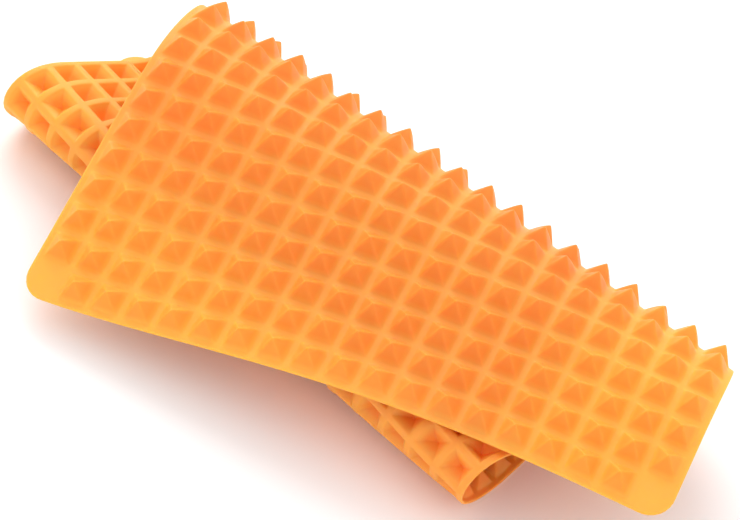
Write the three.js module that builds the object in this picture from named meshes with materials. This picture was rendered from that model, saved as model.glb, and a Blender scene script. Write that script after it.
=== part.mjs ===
// Flexible moulded mat: one rubber-like sheet covered with a square grid of hollow
// pyramids, folded like a Z into three layers. The bottom panel lies flat with its
// pyramids up, the middle panel comes back over it with its pyramids down, and the
// top panel goes out again with its pyramids up. Both folds run a little oblique to
// the rows, so the corners of the three layers fan out.
// Units are millimetres, +Z up. X runs along the bottom panel's rows and Y along its
// columns, away from the lower fold. The origin is the middle of the footprint.
import * as THREE from "three";

// The flat moulding.
const PITCH = 14.5; // one pyramid cell
const COLUMNS = 19;
const ROWS = 28;
const MARGIN = 1.4; // plain edge outside the outer cells
const CORNER_RADIUS = 10.7; // the four corner cells are plain and rounded
const SHEET = 1.2; // thickness of the lands between pyramids
const PYRAMID_BASE = 12.4;
const PYRAMID_HEIGHT = 7; // above the land
const PIT_BASE = 11.6;
const PIT_DEPTH = 6.4; // above the underside of the land
const NODE_GAP = 0.3; // kept between neighbouring solids

// The folds, in cells. A fold's centre line crosses the middle column at row "at" and
// is turned by "skew" degrees. The sheet turns through "turn" degrees over twice "half",
// with more of the bend at the middle for a larger "curl" and nearer the start for a
// larger "lean".
const UPPER_FOLD = {
  at: 9.27,
  skew: 15.74,
  half: 3.85,
  turn: 213.1,
  lean: 0.56,
  curl: 0.41,
};
const LOWER_FOLD = {
  at: 19.88,
  skew: 8.84,
  half: 2.96,
  turn: 195.6,
  lean: -0.54,
  curl: 0.54,
};
const UPPER_STRIP = 2.2; // cells each side of a fold line that count as the fold
const LOWER_STRIP = 1.9;

// How the top panel hangs over the layers below it, in cells.
const SAG = { along: 0.0138, fade: -0.00107, twist: -0.0261, bow: 0.000209, ease: 1.0 };

// Where the middle of the footprint lies from the bottom panel's first corner.
const CENTRE_X = 172.91;
const CENTRE_Y = 322.94;

const ORANGE = 0xfe9f44;
const rad = THREE.MathUtils.degToRad;
const clamp = THREE.MathUtils.clamp;

// Cross-section of a fold: how far the strip has come (c) and risen (z), and its angle
// (a), at even steps from its straight start to its straight end.
function foldProfile({ half, turn, lean, curl }, steps = 200) {
  const angle = (k) => {
    const t = k / steps;
    const s = t + 0.25 * lean * Math.sin(Math.PI * t) ** 2;
    return rad(turn) * (s - (curl * Math.sin(2 * Math.PI * s)) / (2 * Math.PI));
  };
  const ds = (2 * half) / steps;
  const rows = [{ c: 0, z: 0, a: 0 }];
  for (let k = 1; k <= steps; k++) {
    const a = angle(k - 1),
      b = angle(k),
      last = rows[k - 1];
    rows.push({
      c: last.c + ((Math.cos(a) + Math.cos(b)) / 2) * ds,
      z: last.z + ((Math.sin(a) + Math.sin(b)) / 2) * ds,
      a: b,
    });
  }
  return rows;
}

// A fold as a map: a point d in front of the fold line goes to (c, z).
function foldMap(fold) {
  const rows = foldProfile(fold),
    steps = rows.length - 1,
    end = rows[steps],
    turn = rad(fold.turn);
  const map = (d) => {
    if (d >= fold.half) return { c: d, z: 0, a: 0 };
    const s = (fold.half - d) / (2 * fold.half);
    if (s >= 1) {
      const over = -fold.half - d;
      return {
        c: fold.half - end.c - over * Math.cos(turn),
        z: end.z + over * Math.sin(turn),
        a: turn,
      };
    }
    const k = Math.min(Math.floor(s * steps), steps - 1),
      f = s * steps - k,
      lo = rows[k],
      hi = rows[k + 1];
    return {
      c: fold.half - (lo.c + (hi.c - lo.c) * f),
      z: lo.z + (hi.z - lo.z) * f,
      a: lo.a + (hi.a - lo.a) * f,
    };
  };
  // The straight run after the fold, carried back rigidly through the fold.
  map.rigid = (d) => {
    const over = -fold.half - d;
    return {
      c: fold.half - end.c - over * Math.cos(turn),
      z: end.z + over * Math.sin(turn),
      a: turn,
    };
  };
  map.along = new THREE.Vector2(Math.cos(rad(fold.skew)), -Math.sin(rad(fold.skew)));
  map.across = new THREE.Vector2(Math.sin(rad(fold.skew)), Math.cos(rad(fold.skew)));
  map.origin = new THREE.Vector2(COLUMNS / 2, fold.at);
  map.local = (p) => {
    const q = p.clone().sub(map.origin);
    return { a: q.dot(map.along), d: q.dot(map.across) };
  };
  return map;
}

const upper = foldMap(UPPER_FOLD);
const lower = foldMap(LOWER_FOLD);

// Middle surface of the sheet: (u, v) in cells on the flat moulding to a point in
// cells. u counts columns and v counts rows from the top panel's free edge.
function surface(u, v) {
  const { a, d } = upper.local(new THREE.Vector2(u, v));
  const bent = upper(d);
  const q = upper.origin
    .clone()
    .addScaledVector(upper.along, a)
    .addScaledVector(upper.across, bent.c);
  const second = lower.local(q);
  const k = THREE.MathUtils.smoothstep(UPPER_FOLD.half - d, 0, 0.7 * UPPER_FOLD.half);
  const near = lower(second.d),
    far = lower.rigid(second.d);
  const w = {
    c: near.c + (far.c - near.c) * k,
    z: near.z + (far.z - near.z) * k,
    a: near.a + (far.a - near.a) * k,
  };
  const lift = -bent.z;
  const p = lower.origin
    .clone()
    .addScaledVector(lower.along, second.a)
    .addScaledVector(lower.across, w.c + lift * Math.sin(w.a));
  const g = Math.max(0, -d - UPPER_FOLD.half);
  const twist = (SAG.twist * a + SAG.bow * a ** 3) * (g ** 2 / (g + SAG.ease));
  const sag = SAG.along * g ** 2 + SAG.fade * g ** 3 + twist;
  return new THREE.Vector3(p.x, p.y, w.z + lift * Math.cos(w.a) - sag);
}

// The same point in millimetres, raised by "off" towards the pyramid side.
function point(u, v, off) {
  const e = 0.02,
    du = surface(u + e, v).sub(surface(u - e, v)),
    dv = surface(u, v + e).sub(surface(u, v - e));
  const p = surface(u, v)
    .multiplyScalar(PITCH)
    .addScaledVector(du.cross(dv).normalize(), off);
  return p.add(new THREE.Vector3(-CENTRE_X, -CENTRE_Y, SHEET / 2));
}

// Which solid a cell belongs to, by the place of its centre from the two folds.
function nodeOf(i, j) {
  const p = new THREE.Vector2(i + 0.5, j + 0.5),
    d1 = upper.local(p).d,
    d2 = lower.local(p).d;
  if (d1 < -UPPER_STRIP) return "top_panel";
  if (d1 <= UPPER_STRIP) return "upper_fold";
  if (d2 < -LOWER_STRIP) return "middle_panel";
  if (d2 <= LOWER_STRIP) return "lower_fold";
  return "bottom_panel";
}

const isCorner = (i, j) => (i === 0 || i === COLUMNS - 1) && (j === 0 || j === ROWS - 1);

// A corner of the cell grid, as the solid "name" has it: moved out to the sheet's edge,
// or drawn back by half the gap where the next cell belongs to another solid.
function gridPoint(i, j, name) {
  let sx = 0,
    sy = 0;
  for (const x of [-1, 1])
    for (const y of [-1, 1]) {
      const ci = clamp(i + (x - 1) / 2, 0, COLUMNS - 1),
        cj = clamp(j + (y - 1) / 2, 0, ROWS - 1);
      if (nodeOf(ci, cj) === name) {
        sx += x;
        sy += y;
      }
    }
  const edge = (k, last) => (k === 0 ? -MARGIN : k === last ? MARGIN : 0) / PITCH;
  const back = NODE_GAP / 2 / PITCH;
  return [
    i + edge(i, COLUMNS) + Math.sign(sx) * back,
    j + edge(j, ROWS) + Math.sign(sy) * back,
  ];
}

// The outline of a cell, anticlockwise seen from the pyramid side. A corner cell
// swaps its outer corner for an arc.
function outline(i, j, name) {
  const square = [
    [0, 0],
    [1, 0],
    [1, 1],
    [0, 1],
  ].map(([x, y]) => gridPoint(i + x, j + y, name));
  if (!isCorner(i, j)) return square;
  const right = i > 0,
    far = j > 0,
    outer = far ? (right ? 2 : 3) : right ? 1 : 0;
  const r = CORNER_RADIUS / PITCH,
    [cu, cv] = square[outer],
    mu = cu + (right ? -r : r),
    mv = cv + (far ? -r : r),
    start = { 0: 180, 1: 270, 2: 0, 3: 90 }[outer];
  const arc = [0, 15, 30, 45, 60, 75, 90].map((t) => {
    const a = rad(start + t);
    return [mu + r * Math.cos(a), mv + r * Math.sin(a)];
  });
  return [...square.slice(outer + 1), ...square.slice(0, outer), ...arc];
}

// One side of a cell: flat land round a pyramid with its tip at "tip", or a plain face.
// Each triangle is given by sheet points [u, v, off].
function cellSide(i, j, name, off, base, tip) {
  const rim = outline(i, j, name).map(([u, v]) => [u, v, off]);
  if (isCorner(i, j)) return rim.slice(2).map((p, k) => [rim[0], rim[k + 1], p]);
  const m = (PITCH - base) / 2 / PITCH;
  const foot = [
    [i + m, j + m, off],
    [i + 1 - m, j + m, off],
    [i + 1 - m, j + 1 - m, off],
    [i + m, j + 1 - m, off],
  ];
  const top = [i + 0.5, j + 0.5, tip];
  const triangles = [];
  for (let k = 0; k < 4; k++) {
    const n = (k + 1) % 4;
    triangles.push([foot[k], foot[n], top]);
    triangles.push([rim[k], rim[n], foot[n]], [rim[k], foot[n], foot[k]]);
  }
  return triangles;
}

// Edges of a cell that no other cell of the same solid shares.
function openEdges(i, j, name) {
  const rim = outline(i, j, name);
  const shared = (x, y) =>
    x >= 0 && x < COLUMNS && y >= 0 && y < ROWS && nodeOf(x, y) === name;
  return rim
    .map((p, k) => [p, rim[(k + 1) % rim.length]])
    .filter(([p, q]) => {
      const mid = [(p[0] + q[0]) / 2 - i, (p[1] + q[1]) / 2 - j];
      const straight =
        Math.abs(p[0] - q[0]) < 0.1 !== Math.abs(p[1] - q[1]) < 0.1 &&
        Math.max(Math.abs(p[0] - q[0]), Math.abs(p[1] - q[1])) > 0.7;
      if (!straight) return true;
      if (Math.abs(mid[0]) < 0.05) return !shared(i - 1, j);
      if (Math.abs(mid[0] - 1) < 0.05) return !shared(i + 1, j);
      if (Math.abs(mid[1]) < 0.05) return !shared(i, j - 1);
      if (Math.abs(mid[1] - 1) < 0.05) return !shared(i, j + 1);
      return true;
    });
}

function solid(name) {
  const h = SHEET / 2,
    positions = [];
  const push = (triangle, flip) => {
    const order = flip ? [0, 2, 1] : [0, 1, 2];
    for (const k of order) positions.push(...point(...triangle[k]).toArray());
  };
  for (let j = 0; j < ROWS; j++)
    for (let i = 0; i < COLUMNS; i++) {
      if (nodeOf(i, j) !== name) continue;
      for (const t of cellSide(i, j, name, h, PYRAMID_BASE, h + PYRAMID_HEIGHT))
        push(t, false);
      for (const t of cellSide(i, j, name, -h, PIT_BASE, -h + PIT_DEPTH))
        push(t, true);
      for (const [p, q] of openEdges(i, j, name)) {
        push([[...p, -h], [...q, -h], [...q, h]], false);
        push([[...p, -h], [...q, h], [...p, h]], false);
      }
    }
  const geometry = new THREE.BufferGeometry();
  geometry.setAttribute("position", new THREE.Float32BufferAttribute(positions, 3));
  geometry.computeVertexNormals();
  return geometry;
}

const mat = new THREE.Group();
for (const name of [
  "bottom_panel",
  "lower_fold",
  "middle_panel",
  "upper_fold",
  "top_panel",
]) {
  const material = new THREE.MeshStandardMaterial({
    color: ORANGE,
    roughness: 0.62,
    metalness: 0,
    flatShading: true,
  });
  const mesh = new THREE.Mesh(solid(name), material);
  mesh.name = name;
  mat.add(mesh);
}

export default mat;
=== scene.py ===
"""A folded sheet of soft orange rubber with a grid of hollow pyramids."""

import math

import bpy
import numpy as np
from mathutils import Matrix, Vector


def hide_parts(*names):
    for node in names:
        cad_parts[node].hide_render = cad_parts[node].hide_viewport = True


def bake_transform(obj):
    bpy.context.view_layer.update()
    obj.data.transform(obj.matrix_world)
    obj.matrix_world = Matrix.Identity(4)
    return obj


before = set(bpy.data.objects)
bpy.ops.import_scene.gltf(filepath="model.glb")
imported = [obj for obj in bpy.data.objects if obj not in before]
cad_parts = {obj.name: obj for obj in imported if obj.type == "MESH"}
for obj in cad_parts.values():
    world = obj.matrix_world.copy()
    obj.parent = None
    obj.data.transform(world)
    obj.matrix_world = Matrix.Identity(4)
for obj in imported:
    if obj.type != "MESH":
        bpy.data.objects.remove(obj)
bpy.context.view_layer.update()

# The flat moulding, in millimetres, as the CAD model has it.
PITCH = 14.5
COLUMNS, ROWS = 19, 28
MARGIN = 1.4
CORNER_RADIUS = 10.7
SHEET = 1.2
PYRAMID_HEIGHT = 7.0
CENTRE = np.array([-172.91, -322.94, SHEET / 2])

# The folds, in cells and degrees: place, skew, half width, turn, lean and curl.
UPPER_FOLD = dict(at=9.27, skew=15.74, half=3.85, turn=213.1, lean=0.56, curl=0.41)
LOWER_FOLD = dict(at=19.88, skew=8.84, half=2.96, turn=195.6, lean=-0.54, curl=0.54)
SAG = dict(along=0.0138, fade=-0.00107, twist=-0.0261, bow=0.000209, ease=1.0)
# The lower fold gives way to its straight run over this share of the upper fold's
# width, counted from the middle layer.
BLEND_SHARE = 0.35
NORMAL_STEP = 0.02  # cells to each side, for the slopes that give a normal

H = SHEET / 2
# A point of the lower fold's outermost line, from above, in millimetres.
LOWER_CREST = (-34.8, -32.2)

# The painted backlight: where a layer has light behind it, in millimetres, its colour is
# painted yellower. The painted glow of the top layer starts a lead before its single
# part and takes its width to grow. That of the loose left end grows from LOOSE_FROM
# towards -X, and is weaker.
GLOW_LEAD, GLOW_WIDTH = 22, 55
LOOSE_FROM, LOOSE_WIDTH = -95, 60
LOOSE_GLOW, TOP_LOOSE_GLOW = 0.75, 0.55


def smoothstep(t):
    t = np.clip(t, 0, 1)
    return t * t * (3 - 2 * t)


# ---- The folded middle surface ------------------------------------------------------


class Fold:
    """A strip of the sheet that bends: flat before it, turned by "turn" after it."""

    STEPS = 400

    def __init__(self, at, skew, half, turn, lean, curl):
        skew, self.turn, self.half = math.radians(skew), math.radians(turn), half
        self.origin = np.array([COLUMNS / 2, at])
        self.along = np.array([math.cos(skew), -math.sin(skew)])
        self.across = np.array([math.sin(skew), math.cos(skew)])
        self.t = np.linspace(0, 1, self.STEPS + 1)
        s = self.t + 0.25 * lean * np.sin(np.pi * self.t) ** 2
        self.angle = self.turn * (s - curl * np.sin(2 * np.pi * s) / (2 * np.pi))
        step = 2 * half / self.STEPS
        self.c, self.z = (self.sums(f(self.angle)) * step for f in (np.cos, np.sin))

    @staticmethod
    def sums(values):
        return np.concatenate([[0], np.cumsum((values[1:] + values[:-1]) / 2)])

    def local(self, points):
        q = points - self.origin
        return q @ self.along, q @ self.across

    def bend(self, d):
        """Where a point d before the fold line goes: across, up, and its angle."""
        s = (self.half - d) / (2 * self.half)
        t = np.clip(s, 0, 1)
        over = np.maximum(s - 1, 0) * 2 * self.half
        c = self.half - np.interp(t, self.t, self.c) - over * math.cos(self.turn)
        z = np.interp(t, self.t, self.z) + over * math.sin(self.turn)
        return np.where(s < 0, d, c), z, np.interp(t, self.t, self.angle)

    def rigid(self, d):
        """The straight run after the fold, carried back through it."""
        over = -self.half - d
        c = self.half - self.c[-1] - over * math.cos(self.turn)
        return c, self.z[-1] + over * math.sin(self.turn), np.full_like(d, self.turn)


upper, lower = Fold(**UPPER_FOLD), Fold(**LOWER_FOLD)


def surface(uv):
    """Sheet places (column, row) to points of the folded middle surface, in cells."""
    a, d = upper.local(uv)
    c, z, _ = upper.bend(d)
    q = upper.origin + a[:, None] * upper.along + c[:, None] * upper.across
    a2, d2 = lower.local(q)
    k = smoothstep((upper.half - d) / (2 * upper.half * BLEND_SHARE))
    c2, z2, t2 = (n + (f - n) * k for n, f in zip(lower.bend(d2), lower.rigid(d2)))
    p = (
        lower.origin
        + a2[:, None] * lower.along
        + (c2 - z * np.sin(t2))[:, None] * lower.across
    )
    g = np.maximum(0, -d - upper.half)
    twist = (SAG["twist"] * a + SAG["bow"] * a**3) * (g**2 / (g + SAG["ease"]))
    drop = SAG["along"] * g**2 + SAG["fade"] * g**3 + twist
    return np.column_stack([p, z2 - z * np.cos(t2) - drop])


def place(uv, off):
    """Points in metres: "off" is in millimetres, towards the pyramid side."""
    e = NORMAL_STEP
    du = surface(uv + [e, 0]) - surface(uv - [e, 0])
    dv = surface(uv + [0, e]) - surface(uv - [0, e])
    n = np.cross(du, dv)
    n /= np.linalg.norm(n, axis=1)[:, None]
    return (surface(uv) * PITCH + n * off[:, None] + CENTRE) / 1000


def painted_backlight(uv, points):
    """How much painted backlight a point gets, for light behind a single layer: 1 where
    nothing lies under the sheet.
    """
    x, y = points[:, 0] * 1000, points[:, 1] * 1000
    right = COLUMNS * PITCH + CENTRE[0]
    crest = LOWER_CREST[1] - (x - LOWER_CREST[0]) * math.tan(
        math.radians(LOWER_FOLD["skew"])
    )
    beyond = np.maximum(x - right, crest - y)
    top = upper.local(uv)[1] < 0
    single = smoothstep((beyond + GLOW_LEAD) / GLOW_WIDTH)
    loose = LOOSE_GLOW * smoothstep((LOOSE_FROM - x) / LOOSE_WIDTH)
    return np.where(top, np.maximum(single, TOP_LOOSE_GLOW * loose), loose)


# ---- One cell's rings ---------------------------------------------------------------

# Each ring is a square with clipped corners: half side and height over the land, in
# millimetres, and how much of the half side the clip takes. The first ring, the cell's
# own edge, isn't listed.
PYRAMID_RINGS = [
    (6.30, 0.00, 0.06),
    (5.92, 0.13, 0.07),
    (5.50, 0.52, 0.08),
    (4.50, 1.78, 0.08),
    (3.30, 3.26, 0.09),
    (2.15, 4.66, 0.11),
    (1.20, 5.76, 0.17),
    (0.62, 6.40, 0.26),
    (0.28, 6.72, 0.34),
]
PYRAMID_TIP = 6.85
PIT_RINGS = [
    (6.15, 0.00, 0.05),
    (5.75, 0.14, 0.06),
    (5.30, 0.58, 0.07),
    (3.60, 2.60, 0.08),
    (1.90, 4.60, 0.12),
    (0.80, 5.85, 0.26),
    (0.34, 6.20, 0.34),
]
PIT_TIP = 6.30
SIDE_STOPS = (-1.0, -0.5, 0.0, 0.5, 1.0)  # along each side, as shares of its half
EDGE_STOPS = 4  # steps along a cell's own edge
CORNER_RAYS = 12  # steps round a corner cell

# The rounded free edge: how far out from the outer cells, and the height over the
# middle surface, from the pyramid side round to the pit side.
EDGE_PROFILE = [
    (0.80, 0.60),
    (1.12, 0.52),
    (1.33, 0.30),
    (1.40, 0.00),
    (1.33, -0.30),
    (1.12, -0.52),
    (0.80, -0.60),
]


class Skin:
    """Collects the vertices and faces of one piece of the sheet."""

    def __init__(self):
        self.places, self.offs, self.faces, self.known = [], [], [], {}

    def vertex(self, u, v, off, key=None):
        if key is not None and key in self.known:
            return self.known[key]
        self.places.append((u, v))
        self.offs.append(off)
        if key is not None:
            self.known[key] = len(self.places) - 1
        return len(self.places) - 1

    def face(self, ids, flip):
        ids = [a for k, a in enumerate(ids) if a != ids[k - 1]]
        if len(ids) > 2:
            self.faces.append(ids[::-1] if flip else ids)

    def lattice(self, x, y, side):
        """A vertex of the cells' shared edges: x and y count quarter cells."""
        return self.vertex(x / EDGE_STOPS, y / EDGE_STOPS, side * H, (x, y, side))

    @staticmethod
    def side_stops(i, j, k):
        """Side k of a cell's edge, anticlockwise, in quarter cells."""
        n = EDGE_STOPS
        x, y = [(0, 0), (n, 0), (n, n), (0, n)][k]
        dx, dy = [(1, 0), (0, 1), (-1, 0), (0, -1)][k]
        return [(i * n + x + dx * m, j * n + y + dy * m) for m in range(n + 1)]

    def rim(self, i, j, side):
        return [
            [self.lattice(x, y, side) for x, y in self.side_stops(i, j, k)]
            for k in range(4)
        ]

    def ring(self, i, j, half, off, clip):
        """A smaller square inside the cell, its corners clipped."""
        turns = [(1, 0), (0, 1), (-1, 0), (0, -1)]
        rows = []
        for dx, dy in turns:
            row = []
            for stop in SIDE_STOPS:
                s = stop * (1 - clip)
                x, y = s * dx + dy, s * dy - dx
                u = i + 0.5 + x * half / PITCH
                v = j + 0.5 + y * half / PITCH
                row.append(self.vertex(u, v, off))
            rows.append(row)
        return rows

    def cell(self, i, j, side, rings, tip):
        flip = side < 0
        last = self.rim(i, j, side)
        for half, height, clip in rings:
            new = self.ring(i, j, half, side * H + height, clip)
            for k in range(4):
                a, b = last[k], new[k]
                for m in range(len(a) - 1):
                    self.face([a[m], a[m + 1], b[m + 1], b[m]], flip)
                after = (k + 1) % 4
                self.face([a[-1], last[after][0], new[after][0], b[-1]], flip)
            last = new
        top = self.vertex(i + 0.5, j + 0.5, side * H + tip)
        loop = [a for row in last for a in row]
        for k, a in enumerate(loop):
            self.face([a, loop[(k + 1) % len(loop)], top], flip)

    def strip(self, lines, flip=False):
        """Quads between neighbouring lines of vertices."""
        for a, b in zip(lines, lines[1:]):
            for k in range(len(a) - 1):
                self.face([a[k], a[k + 1], b[k + 1], b[k]], flip)

    def mesh(self, name):
        uv, off = np.array(self.places), np.array(self.offs)
        points = place(uv, off)
        mesh = bpy.data.meshes.new(name)
        mesh.from_pydata(points.tolist(), [], self.faces)
        mesh.validate()
        mesh.shade_smooth()
        for attribute, values in (
            ("painted_backlight", painted_backlight(uv, points)),
            ("height", np.clip(np.abs(off) / (H + PYRAMID_HEIGHT), 0, 1)),
        ):
            layer = mesh.attributes.new(attribute, "FLOAT", "POINT")
            layer.data.foreach_set("value", values.astype(np.float32))
        mesh.update()
        return mesh


def is_corner(i, j):
    return i in (0, COLUMNS - 1) and j in (0, ROWS - 1)


def free_edge(skin, i, j, k, outward):
    """The plain margin and rounded edge along side k of a border cell."""
    n = EDGE_STOPS
    du, dv = outward
    stops = skin.side_stops(i, j, k)
    lines = [[skin.lattice(x, y, 1) for x, y in stops]]
    for out, off in EDGE_PROFILE:
        lines.append(
            [
                skin.vertex(
                    x / n + du * out / PITCH,
                    y / n + dv * out / PITCH,
                    off,
                    (x, y, du, dv, out, off),
                )
                for x, y in stops
            ]
        )
    lines.append([skin.lattice(x, y, -1) for x, y in stops])
    skin.strip(lines, flip=True)


def corner_cell(skin, i, j):
    """A plain corner cell: rays from its inner corner to the rounded outer edge."""
    n = EDGE_STOPS
    su, sv = (-1 if i == 0 else 1), (-1 if j == 0 else 1)
    x0, y0 = (n if i == 0 else i * n), (n if j == 0 else j * n)
    r = CORNER_RADIUS
    full = PITCH + MARGIN
    centre = full - r

    def reach(angle):
        """From the inner corner to the sheet's outline, in millimetres."""
        c, s = math.cos(angle), math.sin(angle)
        straight = full / max(c, s)
        b = centre * (c + s)
        arc = b + math.sqrt(max(b * b - 2 * centre * centre + r * r, 0))
        x, y = straight * c, straight * s
        return arc if x > centre and y > centre else straight

    mirrored = su * sv < 0
    for side in (1, -1):
        rays = []
        for k in range(CORNER_RAYS + 1):
            angle = math.pi / 2 * k / CORNER_RAYS
            c, s = math.cos(angle), math.sin(angle)
            if k in (0, CORNER_RAYS):
                ray = [
                    skin.lattice(x0 + su * m, y0, side)
                    if k == 0
                    else skin.lattice(x0, y0 + sv * m, side)
                    for m in range(n + 1)
                ]
            else:
                scale = reach(angle) / full / n
                ray = [
                    skin.vertex(
                        x0 / n + su * c * m * scale,
                        y0 / n + sv * s * m * scale,
                        side * H,
                        (i, j, "ray", k, m, side) if m else (x0, y0, side),
                    )
                    for m in range(n + 1)
                ]
            rays.append(ray)
        skin.strip(rays, flip=(side < 0) != mirrored)
    # The edge round the corner, from the last ray vertices out.
    lines = []
    for k in range(CORNER_RAYS + 1):
        angle = math.pi / 2 * k / CORNER_RAYS
        c, s = math.cos(angle), math.sin(angle)
        line = []
        for out, off in EDGE_PROFILE:
            if k == 0:
                x, y = x0 + su * n, y0
                key = (x, y, su, 0, out, off)
                u, v = x / n + su * out / PITCH, y / n
            elif k == CORNER_RAYS:
                x, y = x0, y0 + sv * n
                key = (x, y, 0, sv, out, off)
                u, v = x / n, y / n + sv * out / PITCH
            else:
                key = (i, j, "edge", k, out, off)
                far = reach(angle) * (PITCH + out) / full
                u, v = x0 / n + su * c * far / PITCH, y0 / n + sv * s * far / PITCH
            line.append(skin.vertex(u, v, off, key))
        if k == 0:
            top, under = (skin.lattice(x0 + su * n, y0, side) for side in (1, -1))
        elif k == CORNER_RAYS:
            top, under = (skin.lattice(x0, y0 + sv * n, side) for side in (1, -1))
        else:
            top, under = (skin.known[(i, j, "ray", k, n, side)] for side in (1, -1))
        lines.append([top, *line, under])
    skin.strip(lines, flip=mirrored)


def sheet_piece(name, has):
    """The part of the sheet whose cells "has" takes, closed along its cut."""
    skin = Skin()
    outwards = [(0, -1), (1, 0), (0, 1), (-1, 0)]
    for j in range(ROWS):
        for i in range(COLUMNS):
            if not has(i, j):
                continue
            if is_corner(i, j):
                corner_cell(skin, i, j)
            else:
                skin.cell(i, j, 1, PYRAMID_RINGS, PYRAMID_TIP)
                skin.cell(i, j, -1, PIT_RINGS, PIT_TIP)
            for k, (du, dv) in enumerate(outwards):
                x, y = i + du, j + dv
                inside = 0 <= x < COLUMNS and 0 <= y < ROWS
                if not inside and not is_corner(i, j):
                    free_edge(skin, i, j, k, (du, dv))
                elif inside and not has(x, y):
                    over, under = skin.rim(i, j, 1)[k], skin.rim(i, j, -1)[k]
                    skin.strip([over, under], flip=True)
    obj = bpy.data.objects.new(name, skin.mesh(name))
    bpy.context.scene.collection.objects.link(obj)
    return obj


SEAM_ROWS = 1  # from half way between the two fold lines, towards the upper one


def in_upper_piece(i, j):
    """The upper piece ends a row nearer the upper fold than half way to the lower."""
    p = np.array([i + 0.5, j + 0.5])
    return upper.local(p)[1] + lower.local(p)[1] < -2 * SEAM_ROWS


# ---- Camera -------------------------------------------------------------------------

AZIMUTH, ELEVATION, ROLL = (math.radians(a) for a in (27.41, 40.74, 13.82))
DISTANCE = 1.1177  # metres from the target
LENS = 130.68  # focal length, in millimetres
CLIP_START, CLIP_END = 0.05, 20
TARGET = Vector((0.00342, 0.01985, 0.0307))

camera = bpy.data.objects.new("camera", bpy.data.cameras.new("camera"))
bpy.context.scene.collection.objects.link(camera)
bpy.context.scene.camera = camera
camera.data.lens = LENS
look = Vector(
    (
        -math.sin(AZIMUTH) * math.cos(ELEVATION),
        math.cos(AZIMUTH) * math.cos(ELEVATION),
        -math.sin(ELEVATION),
    )
)
turn = look.to_track_quat("-Z", "Y").to_matrix().to_4x4()
camera.matrix_world = (
    Matrix.Translation(TARGET - look * DISTANCE) @ turn @ Matrix.Rotation(ROLL, 4, "Z")
)
camera.data.clip_start, camera.data.clip_end = CLIP_START, CLIP_END

# ---- The sheet ----------------------------------------------------------------------

upper_sheet = sheet_piece("mat_upper", in_upper_piece)
lower_sheet = sheet_piece("mat_lower", lambda i, j: not in_upper_piece(i, j))

# ---- Material -----------------------------------------------------------------------

# The deep orange is the rubber over other layers; the backlit orange is painted light
# behind a single thin layer.
DEEP_ORANGE = (1.0, 0.250, 0.032, 1)
PAINTED_BACKLIT_ORANGE = (1.0, 0.325, 0.036, 1)
PAINTED_LAND_LIGHT = (1.0, 1.30, 1.6, 1)  # painted light on the thin lands: multiplies the body colour on the lands
LAND_FADE = (0.08, 0.34)  # where the painted land light fades out, as shares of a tip's height
DUST = (1.0, 0.40, 0.08, 1)
DUST_SHARE = 0.14
CLOUD_SCALE, CLOUD_EDGES = 28, (0.35, 0.65)
GRAIN_SCALE, GRAIN_DEPTH = 2600, 0.00008
ROUGHNESS, ROUGHNESS_EDGES = (0.46, 0.60), (0.3, 0.7)
WHITE = (1, 1, 1, 1)


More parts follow.
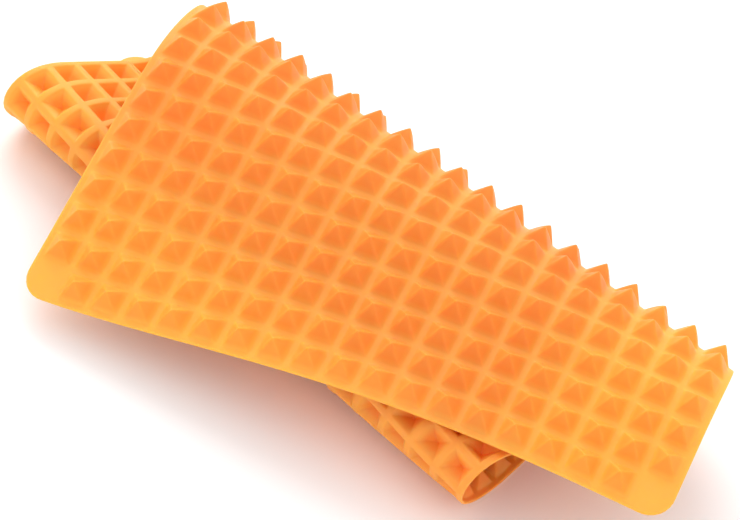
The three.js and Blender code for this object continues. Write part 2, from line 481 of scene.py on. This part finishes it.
def rubber():
    """Soft rubber: light goes a little way in, with painted backlight, painted lighter
    lands, faint clouds and fine grain.
    """
    material = bpy.data.materials.new("orange_silicone")
    material.use_nodes = True
    nodes, links = material.node_tree.nodes, material.node_tree.links

    def node(kind, **inputs):
        made = nodes.new(kind)
        for name, value in inputs.items():
            made.inputs[name.replace("_", " ")].default_value = value
        return made

    def ranged(source, edges, ends):
        made = node(
            "ShaderNodeMapRange",
            From_Min=edges[0],
            From_Max=edges[1],
            To_Min=ends[0],
            To_Max=ends[1],
        )
        links.new(source, made.inputs["Value"])
        return made.outputs["Result"]

    def attribute(name):
        made = nodes.new("ShaderNodeAttribute")
        made.attribute_name = name
        return made.outputs["Fac"]

    def mix(factor, a, b):
        made = nodes.new("ShaderNodeMix")
        made.data_type = "RGBA"
        for socket, value in ((0, factor), (6, a), (7, b)):
            if isinstance(value, tuple):
                made.inputs[socket].default_value = value
            else:
                links.new(value, made.inputs[socket])
        return made.outputs[2]

    shader = nodes["Principled BSDF"]
    shader.inputs["IOR"].default_value = 1.41
    shader.inputs["Specular IOR Level"].default_value = 0.35
    shader.inputs["Subsurface Weight"].default_value = 0.7
    shader.inputs["Subsurface Radius"].default_value = (1.0, 0.5, 0.12)
    shader.inputs["Subsurface Scale"].default_value = 0.004

    coordinates = nodes.new("ShaderNodeTexCoord")
    cloud = node("ShaderNodeTexNoise", Scale=CLOUD_SCALE, Detail=4, Roughness=0.6)
    grain = node("ShaderNodeTexNoise", Scale=GRAIN_SCALE, Detail=3)
    for texture in (cloud, grain):
        links.new(coordinates.outputs["Object"], texture.inputs["Vector"])

    # Painted backlight: deep orange over other layers, painted yellower where one thin
    # layer has light behind it.
    backlit_body = mix(attribute("painted_backlight"), DEEP_ORANGE, PAINTED_BACKLIT_ORANGE)
    # Painted light: the lands and the pyramid bases painted lighter and yellower than
    # the walls above them.
    painted_land_light = mix(ranged(attribute("height"), LAND_FADE, (0, 1)), PAINTED_LAND_LIGHT, WHITE)
    painted_light_mix = nodes.new("ShaderNodeMix")
    painted_light_mix.data_type, painted_light_mix.blend_type = "RGBA", "MULTIPLY"
    painted_light_mix.inputs[0].default_value = 1
    links.new(backlit_body, painted_light_mix.inputs[6])
    links.new(painted_land_light, painted_light_mix.inputs[7])
    cloudy = ranged(cloud.outputs["Fac"], CLOUD_EDGES, (0, DUST_SHARE))
    links.new(mix(cloudy, painted_light_mix.outputs[2], DUST), shader.inputs["Base Color"])

    rough = ranged(cloud.outputs["Fac"], ROUGHNESS_EDGES, ROUGHNESS)
    links.new(rough, shader.inputs["Roughness"])
    bump = node("ShaderNodeBump", Strength=0.12, Distance=GRAIN_DEPTH)
    links.new(grain.outputs["Fac"], bump.inputs["Height"])
    links.new(bump.outputs["Normal"], shader.inputs["Normal"])
    return material


silicone = rubber()
for piece in (upper_sheet, lower_sheet):
    piece.data.materials.append(silicone)

# ---- Floor and light ----------------------------------------------------------------

FLOOR_SIZE = 12
PAPER_WHITE = (0.93, 0.93, 0.93, 1)
WORLD_STRENGTH = 1.15

bpy.ops.mesh.primitive_plane_add(size=FLOOR_SIZE, location=(0, 0, 0))
floor = bpy.context.object
floor.name = "floor"
paper = bpy.data.materials.new("white_floor")
paper.use_nodes = True
paper_shader = paper.node_tree.nodes["Principled BSDF"]
paper_shader.inputs["Base Color"].default_value = PAPER_WHITE
paper_shader.inputs["Roughness"].default_value = 0.9
floor.data.materials.append(paper)

world = bpy.data.worlds.new("studio")
bpy.context.scene.world = world
world.use_nodes = True
background = world.node_tree.nodes["Background"]
background.inputs["Color"].default_value = WHITE
background.inputs["Strength"].default_value = WORLD_STRENGTH


def softbox(name, place_at, aim, size, power):
    """A round area light, its size in metres and its power in watts."""
    data = bpy.data.lights.new(name, "AREA")
    data.shape, data.size, data.energy = "DISK", size, power
    lamp = bpy.data.objects.new(name, data)
    bpy.context.scene.collection.objects.link(lamp)
    lamp.location = place_at
    direction = Vector(aim) - Vector(place_at)
    lamp.rotation_euler = direction.to_track_quat("-Z", "Y").to_euler()


softbox("key", (-0.95, 0.95, 1.2), aim=(0, 0, 0), size=1.4, power=15)

bpy.context.scene.view_settings.view_transform = "Standard"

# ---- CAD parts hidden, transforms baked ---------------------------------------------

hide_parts("upper_fold", "top_panel")
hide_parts("bottom_panel", "lower_fold", "middle_panel")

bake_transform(upper_sheet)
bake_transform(lower_sheet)


def flat_cut(has):
    """The flat width and length, and the area, of the piece whose cells "has" takes."""
    cells = [(i, j) for j in range(ROWS) for i in range(COLUMNS) if has(i, j)]
    rows = [j for _, j in cells]
    width = COLUMNS * PITCH + 2 * MARGIN
    length = (max(rows) - min(rows) + 1) * PITCH + MARGIN
    area = sum(
        (PITCH + MARGIN * (i in (0, COLUMNS - 1)))
        * (PITCH + MARGIN * (j in (0, ROWS - 1)))
        for i, j in cells
    )
    area -= 2 * (1 - math.pi / 4) * CORNER_RADIUS**2  # each piece has two corners
    return (width / 1000, length / 1000), area / 1e6


lower_flat, lower_area = flat_cut(lambda i, j: not in_upper_piece(i, j))
upper_flat, upper_area = flat_cut(in_upper_piece)
